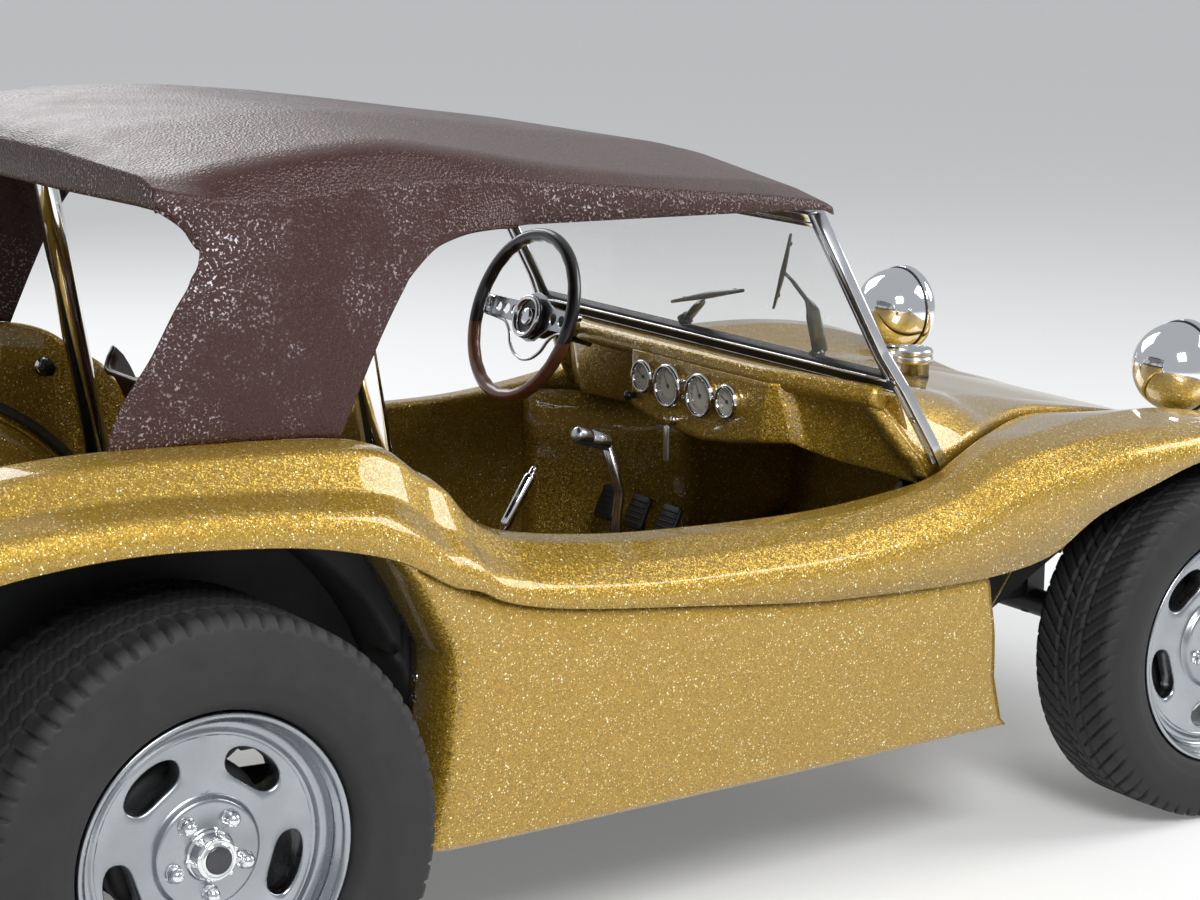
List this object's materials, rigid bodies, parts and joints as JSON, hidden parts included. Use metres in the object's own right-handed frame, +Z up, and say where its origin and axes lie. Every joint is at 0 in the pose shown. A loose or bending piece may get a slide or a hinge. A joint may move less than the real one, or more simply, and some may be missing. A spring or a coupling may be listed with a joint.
{
  "type": "dune buggy",
  "caption": "Open two-seat dune buggy: fibreglass tub with flared fenders and side panels, vinyl top on a roll hoop, open rear engine, slotted wheels and working steering.",
  "frame": {"origin": "on the ground under the middle of the car's bounding box", "axes": "+X forward, +Y to the car's left, +Z up"},
  "size_m": [3.327, 1.6138, 1.309],
  "materials": {
    "gold_fibreglass": "gold metal flake under clear gloss coat on fibreglass",
    "brown_vinyl": "glossy grained maroon-brown vinyl",
    "seat_vinyl": "satin brown vinyl",
    "tyre": "matte black",
    "rim_aluminium": "polished slotted alloy",
    "bright_aluminium": "polished",
    "chrome": "mirror plated",
    "clear_glass": "clear",
    "black_trim": "black",
    "wood_rim": "varnished wood rim on polished spokes",
    "red_lens": "red lens",
    "engine_alloy": "cast grey alloy",
    "engine_black": "semi-gloss black tinware",
    "exhaust_steel": "satin steel",
    "chassis_black": "satin black frame paint"
  },
  "bodies": {
    "chassis": {"body_shell": "gold_fibreglass", "carburettor": "engine_alloy", "crank_pulley": "engine_black", "dash_panel": "gold_fibreglass", "engine_block": "engine_alloy", "exhaust": "exhaust_steel", "fan_shroud": "engine_black", "floor_pan": "chassis_black", "front_axle_beam": "chassis_black", "front_bumper": "chrome", "fuel_filler": "bright_aluminium", "gauges": "chrome", "handbrake": "chrome", "headlight_left": "chrome", "headlight_right": "chrome", "hood_cowl": "gold_fibreglass", "nose_panel": "gold_fibreglass", "pedals": "black_trim", "rear_axle_left": "chassis_black", "rear_axle_right": "chassis_black", "rear_bumper": "chrome", "rear_frame": "chassis_black", "roll_hoop": "chrome", "roof_top": "brown_vinyl", "seat_left": "seat_vinyl", "seat_right": "seat_vinyl", "shifter": "bright_aluminium", "side_panel_left": "gold_fibreglass", "side_panel_right": "gold_fibreglass", "steering_column": "black_trim", "tail_lamp_left": "red_lens", "tail_lamp_right": "red_lens", "trailing_arms_left": "chassis_black", "trailing_arms_right": "chassis_black", "transaxle": "engine_alloy", "windshield_frame": "bright_aluminium", "windshield_glass": "clear_glass", "wiper_left": "black_trim", "wiper_right": "black_trim"},
    "wheel_front_left": {"rim_front_left": "rim_aluminium", "tyre_front_left": "tyre"},
    "wheel_front_right": {"rim_front_right": "rim_aluminium", "tyre_front_right": "tyre"},
    "wheel_rear_left": {"rim_rear_left": "rim_aluminium", "tyre_rear_left": "tyre"},
    "wheel_rear_right": {"rim_rear_right": "rim_aluminium", "tyre_rear_right": "tyre"},
    "knuckle_left": {"knuckle_left": "chassis_black"},
    "knuckle_right": {"knuckle_right": "chassis_black"},
    "steering_wheel": {"steering_wheel": "wood_rim"}
  },
  "joints": [
    {"name": "wheel_front_left_spin", "type": "hinge", "parent": "knuckle_left", "child": "wheel_front_left", "pos_m": [1.1485, 0.627, 0.314], "axis": [0, 1, 0], "continuous": true},
    {"name": "wheel_front_right_spin", "type": "hinge", "parent": "knuckle_right", "child": "wheel_front_right", "pos_m": [1.1485, -0.627, 0.314], "axis": [0, 1, 0], "continuous": true},
    {"name": "wheel_rear_left_spin", "type": "hinge", "parent": "chassis", "child": "wheel_rear_left", "pos_m": [-0.8835, 0.668, 0.346], "axis": [0, 1, 0], "continuous": true},
    {"name": "wheel_rear_right_spin", "type": "hinge", "parent": "chassis", "child": "wheel_rear_right", "pos_m": [-0.8835, -0.668, 0.346], "axis": [0, 1, 0], "continuous": true},
    {"name": "steer_left", "type": "hinge", "parent": "chassis", "child": "knuckle_left", "pos_m": [1.1485, 0.545, 0.314], "axis": [0, 0, 1], "range_deg": [-28, 28]},
    {"name": "steer_right", "type": "hinge", "parent": "chassis", "child": "knuckle_right", "pos_m": [1.1485, -0.545, 0.314], "axis": [0, 0, 1], "range_deg": [-28, 28]},
    {"name": "steering_wheel_turn", "type": "hinge", "parent": "chassis", "child": "steering_wheel", "pos_m": [0.3365, 0.35, 0.835], "axis": [-0.9455, 0, 0.3256], "range_deg": [-392, 392]}
  ],
  "couplings": [
    {"joint": "steer_right", "follows": "steer_left", "ratio": 1},
    {"joint": "steering_wheel_turn", "follows": "steer_left", "ratio": 14}
  ]
}
